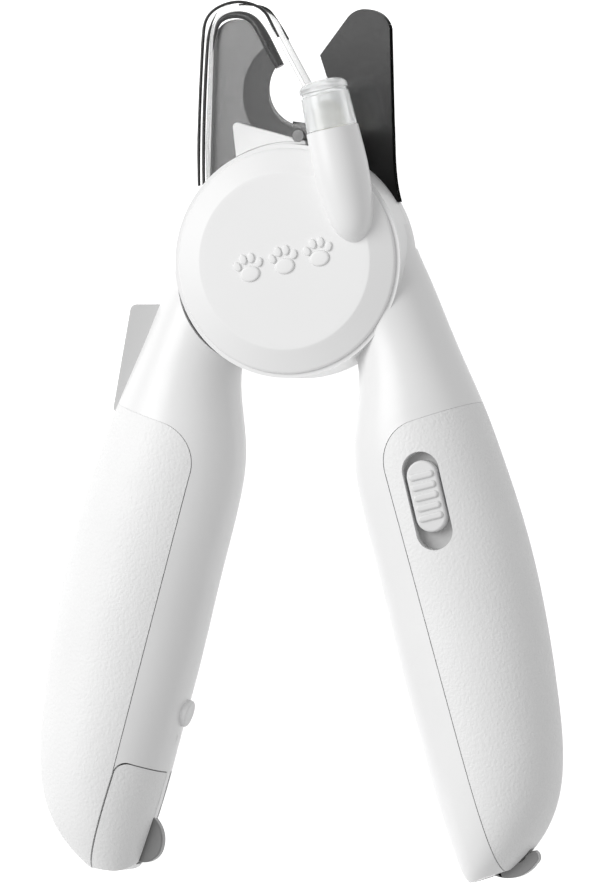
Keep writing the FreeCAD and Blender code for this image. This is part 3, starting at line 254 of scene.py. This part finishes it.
def steel_with_painted_reflection(name, painted_reflection_tones, bevel_painted_shade, wall_painted_shade, span, rough):
    """Satin steel with painted reflection and shade: the tone runs along the blade as a painted
    reflection and shadow, and bevels and upright edges get their own painted shade.
    """
    material, tree, shader = new_material(name)
    shader.inputs["Metallic"].default_value = 1.0
    shader.inputs["Specular Tint"].default_value = (0.3, 0.3, 0.3, 1.0)
    # Painted reflection and shadow: the base tone runs along the blade's Y from the root's tone to
    # the tip's.
    coords = tree.nodes.new("ShaderNodeTexCoord")
    split = tree.nodes.new("ShaderNodeSeparateXYZ")
    reach = tree.nodes.new("ShaderNodeMapRange")
    reach.inputs["From Min"].default_value = span[0]
    reach.inputs["From Max"].default_value = span[1]
    tree.links.new(coords.outputs["Object"], split.inputs[0])
    tree.links.new(split.outputs["Y"], reach.inputs["Value"])
    cloud = object_noise(tree, 70.0)
    sway = tree.nodes.new("ShaderNodeMath")
    sway.operation = "MULTIPLY_ADD"
    sway.inputs[1].default_value = 0.25
    tree.links.new(cloud.outputs["Fac"], sway.inputs[0])
    tree.links.new(reach.outputs["Result"], sway.inputs[2])
    flat = ramp(tree, sway.outputs[0], [(0.15, grey(painted_reflection_tones[0])), (1.1, grey(painted_reflection_tones[1]))])
    # Painted shade: bevels and upright walls are darkened by how far they tilt from flat.
    walls = ramp(tree, face_tilt(tree), [
        (0.1, grey(wall_painted_shade)), (0.5, grey(bevel_painted_shade)), (0.97, grey(bevel_painted_shade)),
        (0.995, grey(1.0))])
    both = tree.nodes.new("ShaderNodeMix")
    both.data_type = "RGBA"
    both.blend_type = "MULTIPLY"
    both.inputs["Factor"].default_value = 1.0
    tree.links.new(flat.outputs["Color"], both.inputs["A"])
    tree.links.new(walls.outputs["Color"], both.inputs["B"])
    tree.links.new(both.outputs["Result"], shader.inputs["Base Color"])
    grain = object_noise(tree, GRIND_SCALE, 2.0, (0.35, 1.0, 1.0))
    rough_map = noise_ramp(tree, grain, grey(rough * 0.88), grey(rough * 1.12))
    tree.links.new(rough_map.outputs["Color"], shader.inputs["Roughness"])
    bump(tree, shader, grain.outputs["Fac"], 0.15, GRIND_DEPTH)
    return material


def floor_material():
    """Matt white that glows, so that it shows as a clean white ground."""
    material, tree, shader = new_material("pale_floor")
    shade = object_noise(tree, 3.0)
    colours = noise_ramp(tree, shade, grey(0.88), grey(0.9))
    tree.links.new(colours.outputs["Color"], shader.inputs["Base Color"])
    shader.inputs["Roughness"].default_value = 0.9
    shader.inputs["Specular IOR Level"].default_value = 0.0
    shader.inputs["Emission Color"].default_value = (1.0, 1.0, 1.0, 1.0)
    shader.inputs["Emission Strength"].default_value = FLOOR_GLOW
    return material


def add_floor():
    """Ground just below the object. It doesn't light the object's sides."""
    half = FLOOR_HALF_WIDTH
    corners = [(-half, -half, 0.0), (half, -half, 0.0), (half, half, 0.0), (-half, half, 0.0)]
    mesh = bpy.data.meshes.new("floor")
    mesh.from_pydata(corners, [], [(0, 1, 2, 3)])
    floor = bpy.data.objects.new("floor", mesh)
    bpy.context.scene.collection.objects.link(floor)
    floor.location.z = cad_bounds[0].z - FLOOR_GAP
    mesh.materials.append(floor_material())
    floor.visible_diffuse = False


def add_world():
    """Even white surroundings."""
    world = bpy.data.worlds.new("studio")
    world.use_nodes = True
    background = world.node_tree.nodes["Background"]
    background.inputs["Color"].default_value = (1.0, 1.0, 1.0, 1.0)
    background.inputs["Strength"].default_value = SKY_STRENGTH
    bpy.context.scene.world = world


# moulded_plastic: colour and its spread, roughness and its spread, grain scale, grain depth in
# metres and, for the grip pads, grain strength.
# brushed_steel: colour, roughness, stretch of the brush lines, strength of the lines.
# blade steel with painted reflection and shade: painted reflection tones at the root and at the
# tip, factors of painted shade for bevels and for walls, where the painted tone starts and ends
# along the blade in metres, roughness.
# clear: roughness, tint, wave scale and, for the milky lens, how much light goes through.
MATERIALS = {
    "white_abs": moulded_plastic("white_abs_look", grey(0.86), 0.008, 0.34, 0.03, 3500.0, 0.00002),
    "satin_white": moulded_plastic("satin_white_look", grey(0.86), 0.006, 0.42, 0.03,
                                   6000.0, 0.00001),
    "textured_white": moulded_plastic("textured_white_look", grey(0.86), 0.012, 0.52, 0.04,
                                      1900.0, 0.00016, 0.7),
    "frosted_clear": clear("frosted_clear_look", 0.16, (0.9, 0.91, 0.91), 900.0, 0.68),
    "led_clear": clear("led_clear_look", 0.05, (1.0, 0.98, 0.9), 500.0),
    "wire_insulation": moulded_plastic("wire_look", (0.5, 0.06, 0.05), 0.01, 0.5, 0.03,
                                       3000.0, 0.00002),
    "dark_plastic": moulded_plastic("dark_plastic_look", grey(0.06), 0.005, 0.5, 0.05,
                                    3000.0, 0.00003),
    "cell_steel": brushed_steel("cell_steel_look", grey(0.7), 0.3, (1.0, 1.0, 0.1), 0.1),
    "nickel": brushed_steel("nickel_look", (0.72, 0.7, 0.62), 0.3, (1.0, 0.1, 1.0), 0.1),
    "steel": brushed_steel("steel_look", grey(0.6), 0.32, (1.0, 1.0, 0.2), 0.2),
    # Both blades carry painted reflection along their length and painted shade on bevels and walls.
    "blade_steel": steel_with_painted_reflection("fixed_blade_look", (0.19, 0.21), 1.0, 0.3, (0.01, 0.045), 0.24),
    "dark_steel": steel_with_painted_reflection("moving_blade_look", (0.02, 0.12), 0.3, 0.05, (0.012, 0.043), 0.22),
    "file_steel": brushed_steel("file_steel_look", grey(0.45), 0.5, (1.0, 1.0, 1.0), 0.8),
    "nylon": moulded_plastic("nylon_look", (0.8, 0.79, 0.74), 0.01, 0.45, 0.04, 3000.0, 0.00002),
    "grey_plastic": moulded_plastic("grey_plastic_look", grey(0.55), 0.01, 0.4, 0.04,
                                    3000.0, 0.00003),
    "grey_dark": moulded_plastic("grey_dark_look", grey(0.235), 0.01, 0.4, 0.04, 3000.0, 0.00003),
    "bumper_rubber": moulded_plastic("rubber_look", grey(0.84), 0.02, 0.6, 0.04, 3000.0, 0.00005),
    "screw_steel": brushed_steel("screw_look", grey(0.16), 0.36, (1.0, 1.0, 0.2), 0.2),
    "guard_white": moulded_plastic("guard_look", grey(0.7), 0.01, 0.4, 0.04, 3000.0, 0.00002),
    "latch_grey": moulded_plastic("latch_look", grey(0.31), 0.01, 0.4, 0.04, 3000.0, 0.00003),
    # Mid grey for the switch slot's floor: painted shade of the recess.
    "well_painted_shade": moulded_plastic("well_painted_shade_look", grey(0.5), 0.01, 0.45, 0.04, 3000.0, 0.00002),
    "knob_grey": moulded_plastic("knob_look", grey(0.78), 0.008, 0.36, 0.04, 3000.0, 0.00002),
    # The nail catcher's clear plastic carries painted shade on its rounded edges.
    "clear_plastic": clear_with_painted_edge_shade("clear_plastic_look"),
    # Near-black look for the beads of painted shade along the nail catcher's edges.
    "smoked": moulded_plastic("painted_shade_look", grey(0.008), 0.002, 0.3, 0.04, 900.0, 0.00001),
}


def dress_cad():
    """Give each CAD node the look of its slot; the blade guard's screw has its own."""
    for node in nodes.values():
        names = [m.name.split(".")[0] for m in node.data.materials]
        for index, name in enumerate(names):
            node.data.materials[index] = MATERIALS[name]
    nodes["guard_screw"].data.materials[0] = MATERIALS["screw_steel"]


# Softened pieces: edges sharper than HARD_EDGE are rounded, faces flatter than FLAT_JOIN are
# joined up, and corners closer than WELD_DISTANCE are made one.
HARD_EDGE = math.radians(28.0)
FLAT_JOIN = math.radians(1.0)
WELD_DISTANCE = 0.002 * MM


def add_piece(name, mesh, look, body, slot, *replaced):
    """Link a finished mesh as a piece that rides on a body and stands for CAD nodes."""
    piece = bpy.data.objects.new(name, mesh)
    bpy.context.scene.collection.objects.link(piece)
    if not mesh.materials:
        mesh.materials.append(MATERIALS[look])
    for face in mesh.polygons:
        face.use_smooth = True
    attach(piece, body)
    if replaced:
        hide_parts(*replaced)
    return piece


def mesh_from(form, name):
    """Turn a form into a mesh and let the form go."""
    mesh = bpy.data.meshes.new(name)
    form.to_mesh(mesh)
    form.free()
    return mesh


def weigh_normals(piece, weight, keep_sharp=False):
    """Shade by the larger faces, so that flats look flat."""
    flat = piece.modifiers.new("flat_faces", "WEIGHTED_NORMAL")
    flat.keep_sharp = keep_sharp
    flat.weight = weight


def round_edges(piece, width, segments=3):
    """Small moulded or ground radius, in millimetres, on the hard edges of a piece."""
    bevel = piece.modifiers.new("radius", "BEVEL")
    bevel.width = width * MM
    bevel.segments = segments
    bevel.limit_method = "ANGLE"
    bevel.angle_limit = HARD_EDGE
    bevel.use_clamp_overlap = True
    bevel.harden_normals = True
    weigh_normals(piece, 80, keep_sharp=True)


def softened(node, body, look, slot, width, segments=3):
    """A copy of a CAD node with its flat faces joined up and its edges rounded."""
    mesh = nodes[node].data.copy()
    mesh.materials.clear()
    form = bmesh.new()
    form.from_mesh(mesh)
    bmesh.ops.remove_doubles(form, verts=form.verts, dist=WELD_DISTANCE)
    bmesh.ops.dissolve_limit(form, angle_limit=FLAT_JOIN, verts=form.verts,
                             edges=form.edges, use_dissolve_boundaries=False)
    form.to_mesh(mesh)
    form.free()
    if "custom_normal" in mesh.attributes:
        mesh.attributes.remove(mesh.attributes["custom_normal"])
    piece = add_piece(node + "_soft", mesh, look, body, slot, node)
    round_edges(piece, width, segments)
    return piece


def lathe(profile, segments=160):
    """Mesh turned about Z from a profile of (radius, height) that starts and ends on the axis."""
    form = bmesh.new()
    rows = []
    for radius, height in profile:
        if radius == 0.0:
            rows.append([form.verts.new((0.0, 0.0, height * MM))])
            continue
        ring = []
        for step in range(segments):
            turn = 2.0 * math.pi * step / segments
            ring.append(form.verts.new((radius * MM * math.cos(turn),
                                        radius * MM * math.sin(turn), height * MM)))
        rows.append(ring)
    for low, high in zip(rows, rows[1:]):
        for step in range(segments):
            after = (step + 1) % segments
            corners = [low[step % len(low)], low[after % len(low)],
                       high[after % len(high)], high[step % len(high)]]
            form.faces.new(list(dict.fromkeys(corners)))
    bmesh.ops.recalc_face_normals(form, faces=form.faces)
    return mesh_from(form, "turned")


# Pivot cap and its paw prints, in millimetres and degrees.
CAP_RIM = 18.5
CAP_FACE = 20.6
DISC_RADIUS = 15.0
CAP_SHADING = 90
PRINT_TILT = 12.0
PRINT_SPACING = 6.3
PRINT_SINK = 0.03
PRINT_HEIGHT = 0.42


def add_cap():
    """Pivot cap: flat disc face with a crisp edge and a sloping ring round it."""
    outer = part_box("pivot_cap")[1].x / MM
    profile = [
        (0.0, CAP_RIM - 0.4), (outer - 0.3, CAP_RIM - 0.4), (outer - 0.02, CAP_RIM),
        (outer, CAP_RIM + 0.3), (outer - 0.1, CAP_RIM + 0.5), (outer - 0.45, CAP_RIM + 0.7),
        (DISC_RADIUS + 0.35, CAP_FACE - 0.07), (DISC_RADIUS + 0.2, CAP_FACE - 0.02),
        (DISC_RADIUS, CAP_FACE), (DISC_RADIUS - 1.0, CAP_FACE), (0.0, CAP_FACE)]
    cap = add_piece("pivot_cap_disc", lathe(profile), "satin_white", "lamp_handle",
                    "satin_white", "pivot_cap")
    weigh_normals(cap, CAP_SHADING)


# Section of one bean of a paw print: (radius, height), 1 mm each way before it is stretched.
BEAN = [(0.0, 0.0), (1.0, 0.0), (1.0, 0.5), (0.94, 0.8), (0.84, 0.96), (0.74, 1.0), (0.0, 1.0)]

# The pad and the four toes of a paw print: x, y, half width, half length in millimetres, and turn
# in degrees.
PAW = [(0.0, -0.9, 1.75, 1.35, 0.0), (-1.95, 0.75, 0.62, 0.85, 25.0),
       (-0.7, 1.75, 0.62, 0.9, 8.0), (0.7, 1.75, 0.62, 0.9, -8.0),
       (1.95, 0.75, 0.62, 0.85, -25.0)]


def add_motif():
    """Row of three plain paw prints, embossed on the cap."""
    form = bmesh.new()
    for index in range(3):
        along = (index - 1) * PRINT_SPACING
        centre = (Matrix.Rotation(math.radians(PRINT_TILT), 4, "Z")
                  @ Matrix.Translation((along * MM, 0.0, 0.0)))
        for x, y, wide, tall, spin in PAW:
            bean = lathe(BEAN, 40)
            shape = (Matrix.Translation((x * MM, y * MM, (CAP_FACE - PRINT_SINK) * MM))
                     @ Matrix.Rotation(math.radians(spin), 4, "Z")
                     @ Matrix.Diagonal((wide, tall, PRINT_HEIGHT, 1.0)))
            bean.transform(centre @ shape)
            form.from_mesh(bean)
            bpy.data.meshes.remove(bean)
    motif = add_piece("cap_paw_prints", mesh_from(form, "motif"), "satin_white", "lamp_handle",
                      "satin_white")
    weigh_normals(motif, CAP_SHADING)


# Slide switch, in millimetres and degrees. Each half length is that of the straight part, and
# WELL_MIDDLE is how far the slot's middle lies from the resting knob's.
PILL_STEPS = 24
SLIDE_TILT = 13.7
KNOB_RADIUS = 2.7
KNOB_HALF = 3.5
KNOB_FOOT = 5.7
RIB_COUNT = 5
RIB_RADIUS = 0.62
RIB_HALF = 1.6
RIB_RISE = 0.45
RIB_SPACING = 1.8
STEM_RADIUS = 1.0
STEM_HALF = 0.5
SLOT_FLOOR = 18.4
WELL_RADIUS = 3.16
WELL_HALF = 5.3
WELL_MIDDLE = -0.82


def pill(form, radius, half, low, high, centre=0.0, across=False):
    """Add a round-ended block to a form, centred up or down the slide line."""
    outline = []
    for side in (1, -1):
        for step in range(PILL_STEPS + 1):
            turn = math.pi * step / PILL_STEPS
            spot = (side * radius * math.cos(turn), side * (half + radius * math.sin(turn)))
            outline.append((spot[1], -spot[0] + centre) if across else (spot[0], spot[1] + centre))
    floor = [form.verts.new((x * MM, y * MM, low * MM)) for x, y in outline]
    roof = [form.verts.new((x * MM, y * MM, high * MM)) for x, y in outline]
    form.faces.new(floor[::-1])
    form.faces.new(roof)
    for index in range(len(outline)):
        after = (index + 1) % len(outline)
        form.faces.new((floor[index], floor[after], roof[after], roof[index]))


def slide_place():
    """Where the knob sits: its centre, turned along the slide line."""
    low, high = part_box("slide_knob")
    centre = (low + high) / 2.0
    return (Matrix.Translation((centre.x, centre.y, 0.0))
            @ Matrix.Rotation(math.radians(SLIDE_TILT), 4, "Z"))


def add_knob():
    """Slide knob: round-ended base, five rounded cross ribs and the stem below."""
    low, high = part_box("slide_knob")
    foot = low.z / MM
    top = high.z / MM
    rim = top - RIB_RISE
    form = bmesh.new()
    pill(form, KNOB_RADIUS, KNOB_HALF, foot + KNOB_FOOT, rim)
    for index in range(RIB_COUNT):
        along = (index - RIB_COUNT // 2) * RIB_SPACING
        pill(form, RIB_RADIUS, RIB_HALF, rim - 0.4, top, along, across=True)
    pill(form, STEM_RADIUS, STEM_HALF, foot, foot + KNOB_FOOT + 0.3)
    mesh = mesh_from(form, "knob")
    mesh.transform(slide_place())
    knob = add_piece("ribbed_knob", mesh, "knob_grey", "switch_knob", "knob_grey", "slide_knob")
    round_edges(knob, 0.4, 4)


def add_switch_well_painted_shade():
    """Grey sheet on the floor of the switch's slot: painted shade that darkens the recess and the
    ring round the knob.
    """
    form = bmesh.new()
    pill(form, WELL_RADIUS, WELL_HALF, SLOT_FLOOR - 0.1, SLOT_FLOOR + 0.12, WELL_MIDDLE)
    mesh = mesh_from(form, "well")
    mesh.transform(slide_place())
    well = add_piece("switch_well_painted_shade", mesh, "well_painted_shade", "lamp_handle", "grey_plastic")
    round_edges(well, 0.06, 2)


def painted_shade_bead(name, route, height, radii):
    """Dark bead of painted shade along part of the nail catcher's rim: a smooth line with a radius
    at each point.
    """
    curve = bpy.data.curves.new(name, "CURVE")
    curve.dimensions = "3D"
    curve.bevel_depth = MM
    curve.bevel_resolution = 6
    curve.use_fill_caps = True
    line = curve.splines.new("NURBS")
    line.points.add(len(route) - 1)  # a new spline has one point already
    for point, (x, y), radius in zip(line.points, route, radii):
        point.co = (x * MM, y * MM, height * MM, 1.0)
        point.radius = radius
    line.order_u = 3
    line.use_endpoint_u = True
    # Near-black material: the bead is painted shade for the clear plastic's dark edge.
    curve.materials.append(MATERIALS["smoked"])
    bead = bpy.data.objects.new(name, curve)
    bpy.context.scene.collection.objects.link(bead)
    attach(bead, "nail_catcher")


def add_catcher_beads():
    """Near-black beads of painted shade that line the nail catcher: its lip, its inner corner and
    its outer edges.

    Routes and radii are in millimetres; the routes are seen from above.
    """
    low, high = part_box("nail_catcher_tray")
    roof = high.z / MM
    floor = low.z / MM
    lip = [(-14.6, 36.0), (-14.2, 40.0), (-12.9, 41.9), (-10.2, 42.5), (-7.6, 41.8),
           (-5.9, 39.5), (-4.3, 36.4), (-2.6, 33.4)]
    painted_shade_bead("catcher_lip", lip, roof - 2.2, [0.04, 0.3, 0.5, 0.62, 0.75, 0.92, 0.95, 0.8])
    corner = [(-15.75, 13.0), (-15.9, 20.0), (-15.2, 37.0), (-14.5, 41.0), (-13.4, 42.6)]
    painted_shade_bead("catcher_inner_line", corner, roof - 0.3, [0.27, 0.31, 0.31, 0.2, 0.03])
    edge = [(-16.6, 13.0), (-16.75, 20.0), (-16.0, 37.5), (-15.4, 42.6), (-10.3, 44.9),
            (-5.2, 43.6), (-3.3, 40.0), (-2.4, 38.4)]
    painted_shade_bead("catcher_upper_edge", edge, roof - 0.25,
                [0.27, 0.3, 0.3, 0.28, 0.26, 0.26, 0.26, 0.2])
    foot = [(-10.4, 44.1), (-6.4, 44.3), (-3.9, 41.4), (-2.0, 38.1)]
    painted_shade_bead("catcher_lower_edge", foot, floor + 0.25, [0.15, 0.2, 0.22, 0.2])


# The plain handle's angle from the long axis, and how far along it the catch's tooth starts.
HANDLE_SPREAD = math.radians(18.4)
TOOTH_START = 98.6 * MM


def add_catch():
    """Lock catch: its rail is white and its tooth grey."""
    piece = softened("lock_catch", "plain_handle", "white_abs", "grey_dark", 0.3)
    mesh = piece.data
    mesh.materials.append(MATERIALS["grey_dark"])
    for face in mesh.polygons:
        across, up = face.center.x, face.center.y
        along = -across * math.sin(HANDLE_SPREAD) - up * math.cos(HANDLE_SPREAD)
        if along > TOOTH_START:
            face.material_index = 1


def add_pieces():
    """Every Blender piece. The softened ones give a look, a slot that nothing uses, and an edge
    radius in mm.
    """
    add_cap()
    add_motif()
    add_knob()
    add_switch_well_painted_shade()
    softened("moving_blade", "plain_handle", "dark_steel", "blade_steel", 0.12, segments=2)
    softened("blade_guard", "lamp_handle", "guard_white", "white_abs", 0.25)
    softened("nail_catcher_tray", "nail_catcher", "clear_plastic", "clear_plastic", 0.32)
    softened("finger_guard", "plain_handle", "grey_plastic", "grey_plastic", 0.3)
    softened("lock_latch_hook", "lock_latch", "latch_grey", "grey_dark", 0.35)
    softened("stop_bumper", "plain_handle", "bumper_rubber", "bumper_rubber", 0.5)
    add_catch()
    add_catcher_beads()


bpy.context.scene.view_settings.view_transform = "Standard"
add_camera()
add_world()
add_floor()
add_key_light()
dress_cad()
add_pieces()
